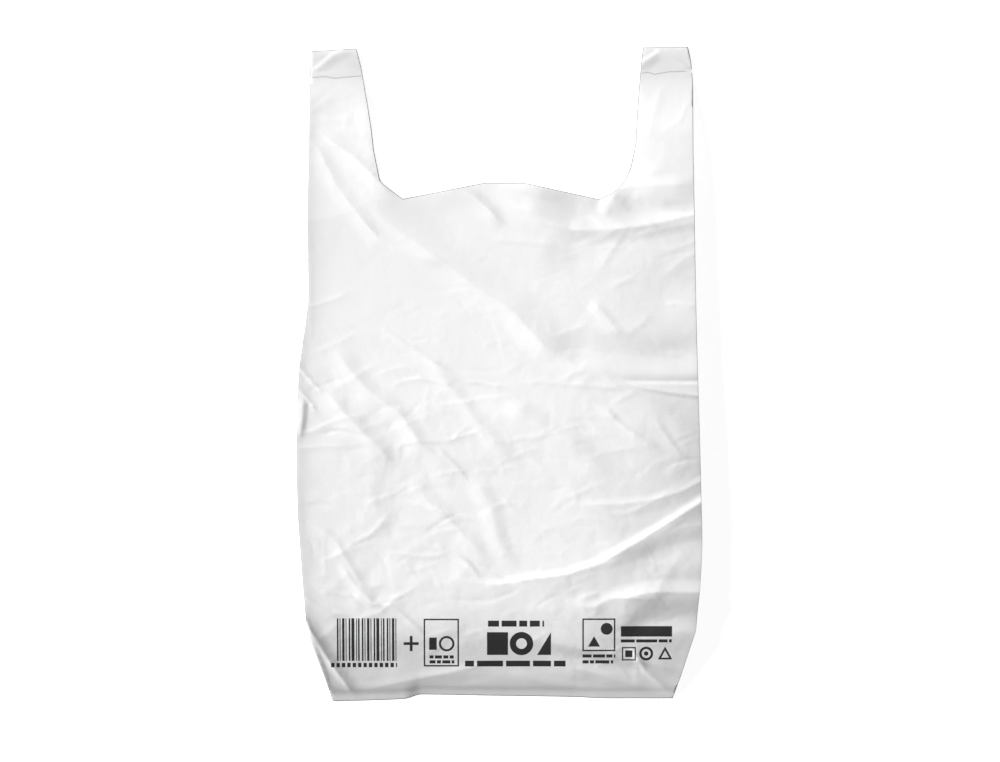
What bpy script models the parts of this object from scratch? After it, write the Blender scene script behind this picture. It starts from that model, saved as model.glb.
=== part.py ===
"""Thin plastic carrier bag with side gussets and two loop handles, lying on its back.

A tube of blown film is folded in at both sides, welded along its bottom edge and across the tops of its
handles, and die-cut through all its layers, which leaves the two handle loops and the mouth between them.
The film is one solid of its real thickness, slightly puffed up, as the bag lies after it has been opened.

Metres. X runs across the bag, Y from the bottom weld to the handles, and Z up from what the bag lies on.
A height along the bag is measured from its bottom edge, and a depth below the tops of its handles.
"""

import math

import bmesh
import bpy

# The film and its welds
FILM = 0.00005  # 50 micrometres
LAYER_PITCH = 0.00015  # from layer to layer where the film is pressed flat for a weld
WELD_LINE = 0.0014  # width of the fused line
WELD_BEAD = 0.0001  # how far a fused line stands out of the film around it
WELD_LIP = 0.0030  # loose film outside the bottom weld
WELD_LIFT = 0.0012  # lowest layer at the handles' weld
TOP_SKIRT = 0.0215  # loose film above the handles' weld

# The bag as it lies
LENGTH = 0.530  # bottom edge to the tops of the handles
BODY_WIDTH = 0.328  # at the belly, where the gussets are partly pulled out
GUSSET_DEPTH = 0.070  # folded in at each side where the film is pressed flat
BODY_FOLD_IN = 0.046  # what is left of each gusset's depth at the belly
CORNER_RISE = 0.057  # height of the tapered bottom corners

# How far the left and the right side lie in from the widest place: at the bottom weld, and then from the
# tapered corners (0) to the handle tops (1)
LEFT_BOTTOM_INSET = 0.0291
RIGHT_BOTTOM_INSET = 0.0238
LEFT_INSET = (
    (0.0, 0.0085), (0.054, 0.0060), (0.156, 0.0024), (0.207, 0.0008), (0.311, 0.0),
    (0.387, 0.0008), (0.440, 0.0016), (0.490, 0.0048), (0.541, 0.0081), (0.569, 0.0095),
    (0.704, 0.0089), (0.825, 0.0097), (0.953, 0.0105), (1.0, 0.0113),
)
RIGHT_INSET = (
    (0.0, 0.0052), (0.027, 0.0040), (0.079, 0.0016), (0.156, 0.0), (0.233, 0.0008),
    (0.362, 0.0024), (0.414, 0.0032), (0.541, 0.0048), (0.746, 0.0065), (0.852, 0.0073),
    (0.926, 0.0073), (0.970, 0.0087), (1.0, 0.0113),
)

# How far the bag stands off the floor
PUFF = 0.029  # front panel at the belly
MOUTH_LIFT = 0.0205  # front panel at the mouth
LEFT_SIDE = 0.024  # upper fold of the left gusset at the belly, which is pulled up
RIGHT_SIDE = 0.013  # upper fold of the right gusset at the belly
STRAP_LIFT = 0.0125  # front straps of the handles
SKIRT_LIFT = 0.0040  # loose film at the tops of the handles
BOTTOM_LIFT = 0.0022  # bottom weld
FOLD_WEB = 0.0003  # height of the round of a fold
SIDE_CALM = 0.006  # the front panel's folds die away over this width at its sides

# How the front panel falls from its crest to its sides, before it turns down at them: the fall's share of its
# rise there, which is negative on the left, where it climbs, and how late the fall comes (height along the
# bag from the bottom weld, 0, to the mouth, 1, and power)
LEFT_FALL = -0.2
RIGHT_FALL = 0.45
LEFT_LATE = 3.0
RIGHT_LATE = (
    (0.0, 3.0), (0.14, 3.0), (0.28, 2.8), (0.40, 4.0), (0.48, 5.0),
    (0.62, 3.2), (0.74, 2.3), (0.88, 2.2), (1.0, 2.6),
)
TURN_LATE = 120  # how suddenly it turns down at the sides
TURN_WIDTH = 0.0015  # the mesh column that the turn takes up

# The die-cut mouth: a handle's width at a depth below the handle tops, and the mouth's low middle hump
LEFT_HANDLE = (
    (0.0013, 0.0367), (0.0164, 0.0413), (0.0242, 0.0428), (0.0464, 0.0471), (0.0676, 0.0507),
    (0.0838, 0.0526), (0.0960, 0.0553), (0.1081, 0.0579), (0.1118, 0.0612),
)
RIGHT_HANDLE = (
    (0.0004, 0.0367), (0.0207, 0.0420), (0.0320, 0.0434), (0.0505, 0.0452), (0.0798, 0.0469),
    (0.0984, 0.0512), (0.1106, 0.0572), (0.1187, 0.0664),
)
MOUTH_DEPTH = 0.1235  # handle tops to the mouth's two low corners
MOUTH_CORNERS = (-0.0782, 0.0798)  # X of the low corners
HUMP_RISE = 0.0129  # the hump's top above the low corners
HUMP_EDGES = (-0.0134, 0.0207)  # X of the ends of the hump's flat top
LEFT_TOP_DROP = 0.0036  # outer corner of the left handle below the top of the right one

# Height of the bottom edge (X, height)
BOTTOM_EDGE = (
    (-0.1349, 0.0), (-0.077, 0.0020), (-0.0634, 0.0056), (-0.008, 0.0047), (0.060, 0.0036),
    (0.087, 0.0025), (0.14, 0.0025),
)

# Folds of the front panel: a crest of points, its rise, its width on the left and on the right of the way
# the points run, and how sharp it is, from 0, round, to 1, a crease. A point is a share of the half width
# and of the length.
FRONT_FOLDS = (
    # folds of the belly that run to the right side, with the hollows under them
    (((-0.29, 0.196), (-0.02, 0.179), (0.33, 0.194), (0.68, 0.244), (0.98, 0.303), (1.43, 0.399)),
     0.0026, 0.007, 0.024, 0.95),
    (((0.49, 0.198), (0.89, 0.240), (1.29, 0.262)), -0.0016, 0.014, 0.022, 0.1),
    (((0.25, 0.294), (0.45, 0.302), (0.76, 0.307), (0.99, 0.337), (1.43, 0.399)), 0.0013, 0.008, 0.012, 0.9),
    # the pleat in the right side, half way up: a hollow over a crest
    (((0.50, 0.503), (0.61, 0.490), (0.98, 0.488), (1.39, 0.489)), -0.0015, 0.013, 0.003, 0.9),
    (((0.56, 0.494), (0.72, 0.478), (0.98, 0.466), (1.39, 0.454)), 0.0013, 0.007, 0.0035, 0.9),
    (((0.57, 0.474), (0.79, 0.447), (1.09, 0.385)), 0.0010, 0.012, 0.012, 0.7),
    # the long soft ridge from the left handle to the right side, and the hollow on its right
    (((-0.76, 0.781), (-0.34, 0.685), (0.07, 0.595), (0.37, 0.512), (0.73, 0.460), (0.91, 0.411)),
     0.0020, 0.026, 0.017, 0.5),
    (((0.20, 0.568), (0.74, 0.534), (1.09, 0.534)), -0.0014, 0.018, 0.022, 0.1),
    (((0.45, 0.619), (0.62, 0.558), (0.81, 0.619)), 0.0011, 0.018, 0.014, 0.5),
    (((0.70, 0.619), (0.85, 0.658), (1.19, 0.721)), 0.0010, 0.012, 0.014, 0.8),
    # under the mouth
    (((0.05, 0.783), (0.34, 0.765), (0.55, 0.733)), -0.0016, 0.012, 0.010, 0.4),
    (((0.06, 0.742), (0.37, 0.722), (0.72, 0.725), (1.29, 0.758)), 0.0016, 0.013, 0.008, 0.7),
    (((0.50, 0.778), (0.72, 0.765), (1.09, 0.757)), -0.0014, 0.012, 0.012, 0.4),
    # crossing creases of the left and the middle
    (((-0.51, 0.553), (-0.32, 0.514), (-0.17, 0.496), (0.03, 0.500)), 0.0009, 0.010, 0.010, 0.8),
    (((-0.86, 0.519), (-0.65, 0.440), (-0.37, 0.330)), 0.0010, 0.014, 0.014, 0.4),
    (((-0.71, 0.555), (-0.34, 0.423), (-0.05, 0.308)), 0.0011, 0.014, 0.014, 0.4),
    (((-0.15, 0.464), (0.16, 0.423), (0.45, 0.372)), 0.0010, 0.020, 0.014, 0.4),
    (((-1.04, 0.408), (-0.85, 0.424), (-0.62, 0.437)), 0.0010, 0.006, 0.010, 0.9),
    # the star of creases over the left bottom corner
    (((-0.96, 0.198), (-0.73, 0.240), (-0.44, 0.308)), 0.0010, 0.011, 0.012, 0.6),
    (((-0.81, 0.285), (-0.55, 0.145), (-0.49, 0.109)), 0.0013, 0.016, 0.016, 0.5),
    (((-0.49, 0.151), (-0.74, 0.134), (-1.13, 0.119)), 0.0010, 0.014, 0.012, 0.7),
    # the shoulder over the right bottom corner, and the folds that fan out of both corners
    (((0.42, 0.170), (0.68, 0.158), (0.99, 0.168), (1.34, 0.160)), 0.0020, 0.014, 0.022, 0.8),
    (((0.60, 0.094), (0.94, 0.132), (1.24, 0.126)), -0.0014, 0.016, 0.016, 0.1),
    (((-1.01, 0.146), (-0.89, 0.084), (-0.80, 0.054), (-0.70, 0.008), (-0.63, -0.032)),
     0.0013, 0.009, 0.012, 0.8),
    (((-0.86, 0.045), (-0.73, 0.022), (-0.64, 0.017), (-0.39, 0.036), (-0.15, 0.052), (0.06, 0.071)),
     0.0012, 0.009, 0.011, 0.8),
    (((0.18, 0.078), (0.37, 0.051), (0.69, 0.017), (0.91, -0.026)), 0.0016, 0.010, 0.013, 0.6),
    (((0.60, 0.103), (0.72, 0.048), (0.83, 0.017), (0.92, -0.019)), 0.0010, 0.009, 0.009, 0.9),
    # left handle
    (((-0.91, 0.875), (-0.73, 0.834), (-0.49, 0.760)), 0.0011, 0.010, 0.012, 0.8),
    (((-0.95, 0.864), (-0.80, 0.791), (-0.63, 0.721)), 0.0010, 0.011, 0.012, 0.7),
)

# Mesh density
ROWS = 44
FRONT_COLUMNS = 28
GUSSET_COLUMNS = 2
BACK_COLUMNS = 5
CLEAR = 0.001  # how far a cutter runs past what it cuts


def through(knots, at):
    """The value at a place on a smooth curve through knots (place, value), with no overshoot."""
    places = [place for place, _ in knots]
    values = [value for _, value in knots]
    if at <= places[0]:
        return values[0]
    if at >= places[-1]:
        return values[-1]
    steps = [b - a for a, b in zip(places, places[1:])]
    slopes = [(b - a) / step for a, b, step in zip(values, values[1:], steps)]
    tangents = [slopes[0]]
    for before, after in zip(slopes, slopes[1:]):
        tangents.append(2 * before * after / (before + after) if before * after > 0 else 0.0)
    tangents.append(slopes[-1])
    i = max(n for n, place in enumerate(places[:-1]) if at >= place)
    t = (at - places[i]) / steps[i]
    rise = values[i + 1] - values[i]
    bend = steps[i] * (tangents[i] * t * (1 - t) ** 2 - tangents[i + 1] * t * t * (1 - t))
    return values[i] + rise * t * t * (3 - 2 * t) + bend


# Places along the bag that the sections below share
WELD_HEIGHT = LENGTH - TOP_SKIRT  # the handles' weld
MOUTH_HEIGHT = LENGTH - MOUTH_DEPTH
BELLY = CORNER_RISE + 0.34 * (MOUTH_HEIGHT - CORNER_RISE)
HALF_WIDTH = BODY_WIDTH / 2
PLACED_FOLDS = [
    ([(across * HALF_WIDTH, along * LENGTH) for across, along in crest], *form)
    for crest, *form in FRONT_FOLDS
]
STACK = 3 * LAYER_PITCH  # front film above back film where all four layers are pressed flat


def side(sign, height):
    """X of the left (-1) or the right (1) side."""
    bottom = LEFT_BOTTOM_INSET if sign < 0 else RIGHT_BOTTOM_INSET
    shares = LEFT_INSET if sign < 0 else RIGHT_INSET
    above = [(CORNER_RISE + share * (LENGTH - CORNER_RISE), inset) for share, inset in shares]
    return sign * (HALF_WIDTH - through([(0.0, bottom)] + above, height))


def fold_in(height):
    """How far the gusset is folded in at a height along the bag."""
    return through(
        (
            (0.0, GUSSET_DEPTH),
            (WELD_LIP + WELD_LINE, GUSSET_DEPTH),
            (CORNER_RISE, BODY_FOLD_IN + 0.006),
            (BELLY, BODY_FOLD_IN),
            (MOUTH_HEIGHT, BODY_FOLD_IN + 0.014),
            (WELD_HEIGHT, GUSSET_DEPTH),
            (LENGTH, GUSSET_DEPTH),
        ),
        height,
    )


def flat_at_welds(height, bottom, low, belly, mouth, strap, skirt):
    """A height off the floor along the bag, which stays level over the width of each weld."""
    level = WELD_LINE
    return through(
        (
            (0.0, bottom),
            (WELD_LIP + 2 * level, bottom),
            (CORNER_RISE, low),
            (BELLY, belly),
            (MOUTH_HEIGHT, mouth),
            ((MOUTH_HEIGHT + WELD_HEIGHT) / 2, strap),
            (WELD_HEIGHT - level, WELD_LIFT),
            (WELD_HEIGHT + level, WELD_LIFT),
            (LENGTH, skirt),
        ),
        height,
    )


def back_edge(height):
    """The lower fold of a gusset."""
    return flat_at_welds(height, BOTTOM_LIFT, 0.0028, 0.0024, 0.0014, 0.0010, 0.0008)


def front_edge(sign, height):
    """The upper fold of a gusset."""
    belly = LEFT_SIDE if sign < 0 else RIGHT_SIDE
    low = 0.7 * belly + 0.001
    mouth = 0.6 * belly + 0.004
    strap, skirt = STRAP_LIFT - 0.0018, SKIRT_LIFT - 0.001
    return STACK + flat_at_welds(height, BOTTOM_LIFT, low, belly, mouth, strap, skirt)


def front_middle(height):
    """The front panel's crest: steep over the bottom weld, level over the belly, lower towards the mouth."""
    return STACK + through(
        (
            (0.0, BOTTOM_LIFT),
            (WELD_LIP + 2 * WELD_LINE, BOTTOM_LIFT),
            (0.53 * CORNER_RISE, 0.42 * PUFF),
            (CORNER_RISE, 0.81 * PUFF),
            (1.4 * CORNER_RISE, 0.95 * PUFF),
            (2.2 * CORNER_RISE, PUFF),
            (0.64 * MOUTH_HEIGHT, 0.98 * PUFF),
            (MOUTH_HEIGHT, MOUTH_LIFT),
            ((MOUTH_HEIGHT + WELD_HEIGHT) / 2, STRAP_LIFT + 0.003),
            (WELD_HEIGHT - WELD_LINE, WELD_LIFT),
            (WELD_HEIGHT + WELD_LINE, WELD_LIFT),
            (LENGTH, SKIRT_LIFT),
        ),
        height,
    )


def back_middle(height):
    return flat_at_welds(height, BOTTOM_LIFT, 0.0, 0.0, 0.0, 0.0, 0.0004)


def pressed(height):
    """1 where the layers are pressed flat for a weld, and 0 where the bag is open."""
    return through(
        (
            (0.0, 1.0),
            (WELD_LIP + 2 * WELD_LINE, 1.0),
            (CORNER_RISE, 0.0),
            (WELD_HEIGHT - 0.03, 0.0),
            (WELD_HEIGHT - WELD_LINE, 1.0),
            (WELD_HEIGHT + WELD_LINE, 1.0),
            (LENGTH, 0.7),
        ),
        height,
    )


def crisp(height):
    """How much of a fold of the front panel there is at a height: nearly nothing in the welds."""
    return through(
        (
            (0.0, 0.1),
            (WELD_LIP + 2 * WELD_LINE, 0.1),
            (0.25 * CORNER_RISE, 0.6),
            (0.5 * CORNER_RISE, 1.0),
            (WELD_HEIGHT - 0.03, 1.0),
            (WELD_HEIGHT - WELD_LINE, 0.1),
            (LENGTH, 0.1),
        ),
        height,
    )


def parted(height):
    """0 where a gusset's layers meet at its inner fold, and 1 in the handles, where the die has cut it off."""
    return through(((MOUTH_HEIGHT + 0.008, 0.0), (MOUTH_HEIGHT + 0.043, 1.0)), height) * (1 - pressed(height))


def smooth(t):
    t = min(max(t, 0.0), 1.0)
    return t * t * (3 - 2 * t)


def fold_rise(x, height, crest, rise, left, right, sharp):
    """What one fold adds at a place: most on its crest, dying away to both sides and at both ends."""
    lengths = [math.dist(a, b) for a, b in zip(crest, crest[1:])]
    nearest, passed = (math.inf, 0.0, 0.0), 0.0
    for a, b, length in zip(crest, crest[1:], lengths):
        way = ((b[0] - a[0]) / length, (b[1] - a[1]) / length)
        on = min(max((x - a[0]) * way[0] + (height - a[1]) * way[1], 0.0), length)
        off = (x - a[0] - on * way[0], height - a[1] - on * way[1])
        nearest = min(nearest, (math.hypot(*off), way[0] * off[1] - way[1] * off[0], passed + on))
        passed += length
    distance, turn, on = nearest
    t = min(1.0, distance / (left if turn > 0 else right))
    profile = sharp * (1 - t) ** 2 + (1 - sharp) * (1 - smooth(t))
    return rise * profile * smooth(4 * min(on, passed - on) / passed)


def swell(u, height):
    """How far the front panel has risen from its sides (-1 and 1) to its crest."""
    fall, late = (LEFT_FALL, LEFT_LATE) if u < 0 else (RIGHT_FALL, through(RIGHT_LATE, height / MOUTH_HEIGHT))
    return (1 - fall * abs(u) ** late) * max(0.0, 1 - abs(u) ** TURN_LATE) ** 0.6


def front_at(x, height):
    """The front panel's film over the floor."""
    left, right = side(-1, height), side(1, height)
    u = (2 * x - left - right) / (right - left)
    low = front_edge(-1, height) + (front_edge(1, height) - front_edge(-1, height)) * smooth((u + 1) / 2)
    folds = sum(fold_rise(x, height, *fold) for fold in PLACED_FOLDS)
    folds *= crisp(height) * smooth(min(right - x, x - left) / SIDE_CALM)
    return low + (front_middle(height) - low) * swell(u, height) + folds


def back_at(x, height):
    """The back panel's film over the floor, flat where the bag rests."""
    left, right = side(-1, height), side(1, height)
    u = (2 * x - left - right) / (right - left)
    lift = max(0.0, (abs(u) - 0.6) / 0.4) ** 2
    low = back_middle(height)
    return low + (back_edge(height) - low) * lift


def gusset_points(sign, height):
    """One gusset, from its upper fold in to the inner fold and out to its lower fold."""
    outer, depth = side(sign, height), fold_in(height)
    web = LAYER_PITCH + (FOLD_WEB - LAYER_PITCH) * (1 - pressed(height))
    upper, lower = front_edge(sign, height), back_edge(height)
    inner = lower + 0.45 * (upper - lower)
    upper_layer, lower_layer = [], []
    for n in range(GUSSET_COLUMNS + 1):
        share = n / GUSSET_COLUMNS
        x = outer - sign * depth * share
        bulge = 0.0006 * math.sin(math.pi * share) * (1 - pressed(height))
        joined = (upper - web) * (1 - share) + (inner + web / 2) * share
        apart = front_at(x, height) - web - bulge
        upper_layer.append((x, joined + (apart - joined) * parted(height)))
        joined = (lower + web) * (1 - share) + (inner - web / 2) * share
        apart = back_at(x, height) + web + bulge
        lower_layer.append((x, joined + (apart - joined) * parted(height)))
    return upper_layer + lower_layer[::-1]


def section(height):
    """The film's ring at a height along the bag: front panel, right gusset, back panel, left gusset."""
    left, right = side(-1, height), side(1, height)
    columns = [left, left + TURN_WIDTH]
    for n in range(1, FRONT_COLUMNS):
        # closer together at the sides, where the panel turns down
        share = n / FRONT_COLUMNS
        columns.append(left + (right - left) * (share + 0.055 * math.sin(2 * math.pi * (share - 0.5))))
    columns += [right - TURN_WIDTH, right]
    front = [(x, front_at(x, height)) for x in columns]
    back = []
    for n in range(BACK_COLUMNS + 1):
        x = right + (left - right) * n / BACK_COLUMNS
        back.append((x, back_at(x, height)))
    return front + gusset_points(1, height) + back + gusset_points(-1, height)[::-1]


def bottom_edge(x):
    """How far the bottom edge lies above the bag's lowest corner, at X."""
    return through(BOTTOM_EDGE, x)


def row_heights():
    """The heights of the mesh rows: close together at the welds, and even between them."""
    welds = [0.0, WELD_LIP + 2 * WELD_LINE, 0.010]
    top = [WELD_HEIGHT - 0.008, WELD_HEIGHT - WELD_LINE, WELD_HEIGHT + WELD_LINE]
    top += [LENGTH - TOP_SKIRT / 2, LENGTH]
    between = [welds[-1] + (top[0] - welds[-1]) * n / ROWS for n in range(1, ROWS)]
    return welds + between + top


def collection(name):
    made = bpy.data.collections.new(name)
    bpy.context.scene.collection.children.link(made)
    return made


def film_material():
    material = bpy.data.materials.new("white_film")
    material.use_nodes = True
    shader = material.node_tree.nodes["Principled BSDF"]
    shader.inputs["Base Color"].default_value = (0.86, 0.86, 0.86, 1.0)
    shader.inputs["Roughness"].default_value = 0.38
    shader.inputs["Metallic"].default_value = 0.0
    return material


def film_tube(place):
    """The folded tube of film, lofted through its sections and open at both ends."""
    mesh = bmesh.new()
    rings = []
    for height in row_heights():
        taper = max(0.0, 1 - height / CORNER_RISE)
        ring = []
        for x, z in section(height):
            ring.append(mesh.verts.new((x, height - LENGTH / 2 + bottom_edge(x) * taper, z + FILM / 2)))
        rings.append(ring)
    for ring, above in zip(rings, rings[1:]):
        for n in range(len(ring)):
            following = (n + 1) % len(ring)
            mesh.faces.new((ring[following], ring[n], above[n], above[following]))
    # one diagonal for both skins of the film, which is thinner than a bent quad is deep
    bmesh.ops.triangulate(mesh, faces=mesh.faces)
    bmesh.ops.recalc_face_normals(mesh, faces=mesh.faces)
    data = bpy.data.meshes.new("carrier_bag")
    mesh.to_mesh(data)
    mesh.free()
    data.shade_smooth()
    tube = bpy.data.objects.new("carrier_bag", data)
    place.objects.link(tube)
    wall = tube.modifiers.new("film", "SOLIDIFY")
    wall.thickness = FILM
    wall.offset = 0
    return tube


def solid(name, low_points, high_points, faces, place):
    """A closed helper solid: matching points on its lower and upper side, and the side faces between them."""
    mesh = bmesh.new()
    lower = [mesh.verts.new(point) for point in low_points]
    upper = [mesh.verts.new(point) for point in high_points]
    for face in faces:
        mesh.faces.new([lower[n] for n in face])
        mesh.faces.new([upper[n] for n in face])
    edges = [edge for edge in mesh.edges if len(edge.link_faces) == 1 and edge.verts[0] in lower]
    partner = dict(zip(lower, upper))
    for edge in edges:
        a, b = edge.verts
        mesh.faces.new((a, b, partner[b], partner[a]))
    bmesh.ops.recalc_face_normals(mesh, faces=mesh.faces)
    data = bpy.data.meshes.new(name)
    mesh.to_mesh(data)
    mesh.free()
    made = bpy.data.objects.new(name, data)
    place.objects.link(made)
    made.hide_render = True
    made.display_type = "WIRE"
    return made


def weld_bar(name, near, far, lift, place):
    """A fused line through the whole stack of layers, between two rows of points (X, Y)."""
    low = lift - WELD_BEAD
    high = lift + STACK + FILM + WELD_BEAD
    rows = near + far
    count = len(near)
    faces = [(n, n + 1, count + n + 1, count + n) for n in range(count - 1)]
    return solid(name, [(x, y, low) for x, y in rows], [(x, y, high) for x, y in rows], faces, place)


def bottom_weld(place):
    """The fused line along the bottom edge."""
    near, far = [], []
    for row, height in ((near, WELD_LIP), (far, WELD_LIP + WELD_LINE)):
        left, right = side(-1, height) - WELD_BEAD, side(1, height) + WELD_BEAD
        for n in range(17):
            x = left + (right - left) * n / 16
            row.append((x, bottom_edge(x) + height - LENGTH / 2))
    return weld_bar("bottom_weld", near, far, BOTTOM_LIFT, place)


def handle_weld(place):
    """The fused line across the film near its upper end, which the die-cut leaves in the two handles."""
    middle = WELD_HEIGHT - LENGTH / 2
    left, right = side(-1, WELD_HEIGHT) - WELD_BEAD, side(1, WELD_HEIGHT) + WELD_BEAD
    near = [(left, middle - WELD_LINE / 2), (right, middle - WELD_LINE / 2)]
    far = [(left, middle + WELD_LINE / 2), (right, middle + WELD_LINE / 2)]
    return weld_bar("handle_weld", near, far, WELD_LIFT, place)


def mouth_die(place):
    """The die that cuts the mouth, the handles' inner edges and the left one's slanted top."""
    top = LENGTH / 2
    over = top + CLEAR
    beyond = HALF_WIDTH + CLEAR
    outline = [(-beyond, over), (-beyond, top - LEFT_TOP_DROP)]
    for depth, width in LEFT_HANDLE:
        outline.append((side(-1, LENGTH - depth) + width, top - depth))
    floor = top - MOUTH_DEPTH
    outline += [(MOUTH_CORNERS[0], floor), (HUMP_EDGES[0], floor + HUMP_RISE)]
    outline += [(HUMP_EDGES[1], floor + HUMP_RISE), (MOUTH_CORNERS[1], floor)]
    for depth, width in RIGHT_HANDLE[::-1]:
        outline.append((side(1, LENGTH - depth) - width, top - depth))
    outline += [(outline[-1][0], over)]
    lower = [(x, y, -CLEAR) for x, y in outline]
    upper = [(x, y, PUFF + CLEAR) for x, y in outline]
    return solid("mouth_die", lower, upper, [tuple(range(len(outline)))], place)


def combine(target, other, operation):
    boolean = target.modifiers.new(other.name, "BOOLEAN")
    boolean.operation = operation
    boolean.solver = "EXACT"
    boolean.object = other


def main():
    for old in list(bpy.data.objects):
        bpy.data.objects.remove(old)
    parts = collection("carrier_bag")
    cutters = collection("dies_and_weld_bars")
    bag = film_tube(parts)
    bag.data.materials.append(film_material())
    combine(bag, bottom_weld(cutters), "UNION")
    combine(bag, handle_weld(cutters), "UNION")
    combine(bag, mouth_die(cutters), "DIFFERENCE")


main()
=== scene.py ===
"""Dresses the plastic carrier bag: its creased, printed film, the light, the floor and the camera.

Metres, in the frame of the CAD model: X across the bag, Y from the bottom weld to the handles, Z up.
Creases and print are placed in pixels of the photograph, which place() turns into metres.
"""

import math
from itertools import groupby

import bmesh
import bpy
import numpy as np
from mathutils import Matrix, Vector
from mathutils.bvhtree import BVHTree
from mathutils.geometry import delaunay_2d_cdt


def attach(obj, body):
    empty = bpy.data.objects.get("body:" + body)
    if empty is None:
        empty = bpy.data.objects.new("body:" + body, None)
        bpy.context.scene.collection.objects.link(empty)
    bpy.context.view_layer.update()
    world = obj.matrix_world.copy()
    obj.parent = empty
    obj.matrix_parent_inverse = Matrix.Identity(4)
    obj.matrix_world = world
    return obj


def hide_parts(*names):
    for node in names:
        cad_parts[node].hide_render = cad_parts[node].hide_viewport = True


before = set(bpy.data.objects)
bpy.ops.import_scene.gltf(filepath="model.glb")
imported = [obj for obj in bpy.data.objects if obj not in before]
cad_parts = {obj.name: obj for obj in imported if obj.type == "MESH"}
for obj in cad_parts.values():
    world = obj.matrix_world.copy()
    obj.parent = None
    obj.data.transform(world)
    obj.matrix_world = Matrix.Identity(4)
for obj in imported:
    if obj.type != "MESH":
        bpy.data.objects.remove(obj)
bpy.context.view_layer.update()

# The photograph's frame
PIXEL = 0.00081  # metres of the bag to a pixel of the photograph
MIDDLE_PX = (499.5, 374.1)  # the bag's centre in the photograph
IMAGE = (1000, 762)
CAMERA_HEIGHT = 8.0
PRINT_LIFT = 0.019  # the height at which the printed strip of the bag lies

# The bag as it lies, as in the CAD model
LENGTH = 0.530
GUSSET_DEPTH = 0.070
BODY_FOLD_IN = 0.046  # how far a gusset reaches in at the belly, the corners and the mouth
CORNER_FOLD_IN = 0.052
MOUTH_FOLD_IN = 0.060
CORNER_RISE = 0.057
TOP_SKIRT = 0.0215
MOUTH_DEPTH = 0.1235
WELD_HEIGHT = LENGTH - TOP_SKIRT
MOUTH_HEIGHT = LENGTH - MOUTH_DEPTH
BELLY = CORNER_RISE + 0.34 * (MOUTH_HEIGHT - CORNER_RISE)
WELD_LIP = 0.0030
WELD_LINE = 0.0014
BOTTOM_WELDED = WELD_LIP + 2 * WELD_LINE
TOP_WELDED = WELD_HEIGHT - WELD_LINE
TOP_LOOSE = WELD_HEIGHT + WELD_LINE
LAYER_PITCH = 0.00015
STACK = 3 * LAYER_PITCH
PUFF = 0.029
MOUTH_LIFT = 0.0205
UNDER_MOUTH_LIFT = 0.0209
# The front panel's crest: steep over the bottom weld, level over the belly, lower at the mouth
FRONT_CREST = (
    (0.18 * CORNER_RISE, 0.20 * PUFF), (0.53 * CORNER_RISE, 0.48 * PUFF), (CORNER_RISE, 0.845 * PUFF),
    (1.4 * CORNER_RISE, 0.955 * PUFF), (2.0 * CORNER_RISE, 0.988 * PUFF), (2.6 * CORNER_RISE, PUFF),
    (0.50 * MOUTH_HEIGHT, 0.99 * PUFF), (0.91 * MOUTH_HEIGHT, UNDER_MOUTH_LIFT), (MOUTH_HEIGHT, MOUTH_LIFT),
)
STRAP_LIFT = 0.0155
STRAP_EDGE_LIFT = 0.0107
SKIRT_LIFT = 0.0040
SKIRT_EDGE_LIFT = 0.0030
LEFT_SIDE = 0.024  # how high the side folds lie at the belly
RIGHT_SIDE = 0.013
# Their height at the corners and at the mouth: a share of that at the belly, and metres more
CORNER_SIDE = (0.7, 0.001)
MOUTH_SIDE = (0.6, 0.004)
# The back panel's height, as for along(), at its sides and in its middle
BACK_EDGE_LIFTS = (0.0028, 0.0024, 0.0014, 0.0010, 0.0008)
BACK_MIDDLE_LIFTS = (0.0, 0.0, 0.0, 0.0, 0.0004)
BACK_FLAT = 0.6  # the share of the back's half width that lies flat
BOTTOM_LIFT = 0.0028
LIP_DROP = 0.0027  # how much lower the bottom edge hangs than the film over its weld
WELD_LIFT = 0.0012
WELD_FADE = 0.03  # over what height the layers come together for the handles' welds
FOLD_WEB = 0.0003
FOLD_ROUND = 0.0025  # how wide a gusset's outer fold is
INNER_FOLD = 0.45  # how high a gusset's inner fold lies, as a share of the way from back to front
UPPER_BULGE = 0.0016  # how far a gusset's layers stand off the panels where the die has parted them
LOWER_BULGE = 0.0006
PART_FROM = 0.008  # from this far above the mouth, and over the next height, the die has parted them
PART_OVER = 0.035

# Half widths of the lying bag (height up the bag, distance from the middle)
LEFT_EDGE = (
    (0.0, 0.1349), (0.5 * CORNER_RISE, 0.1450), (0.94 * CORNER_RISE, 0.1543), (CORNER_RISE, 0.1555),
    (0.0824, 0.1580), (0.131, 0.1616), (0.155, 0.1632), (0.204, 0.1640), (0.240, 0.1632),
    (0.265, 0.1624), (0.289, 0.1592), (0.313, 0.1559), (0.326, 0.1545), (0.390, 0.1551),
    (0.447, 0.1543), (0.508, 0.1535), (LENGTH, 0.1527),
)
RIGHT_EDGE = (
    (0.0, 0.1402), (0.5 * CORNER_RISE, 0.1494), (0.94 * CORNER_RISE, 0.1577), (CORNER_RISE, 0.1588),
    (0.070, 0.1600), (0.0945, 0.1624), (0.131, 0.1640), (0.167, 0.1632), (0.228, 0.1616),
    (0.253, 0.1608), (0.313, 0.1592), (0.410, 0.1575), (0.460, 0.1567), (0.495, 0.1567),
    (0.516, 0.1553), (LENGTH, 0.1527),
)
# The slanting bottom edge (X, height)
BOTTOM_EDGE = (
    (-0.1349, 0.0), (-0.077, 0.0020), (-0.0634, 0.0056), (-0.008, 0.0047), (0.060, 0.0036), (0.087, 0.0025),
    (0.14, 0.0025),
)
EDGE_REACH = 0.022  # how far up the slanting bottom edge tells on the film over it
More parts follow.
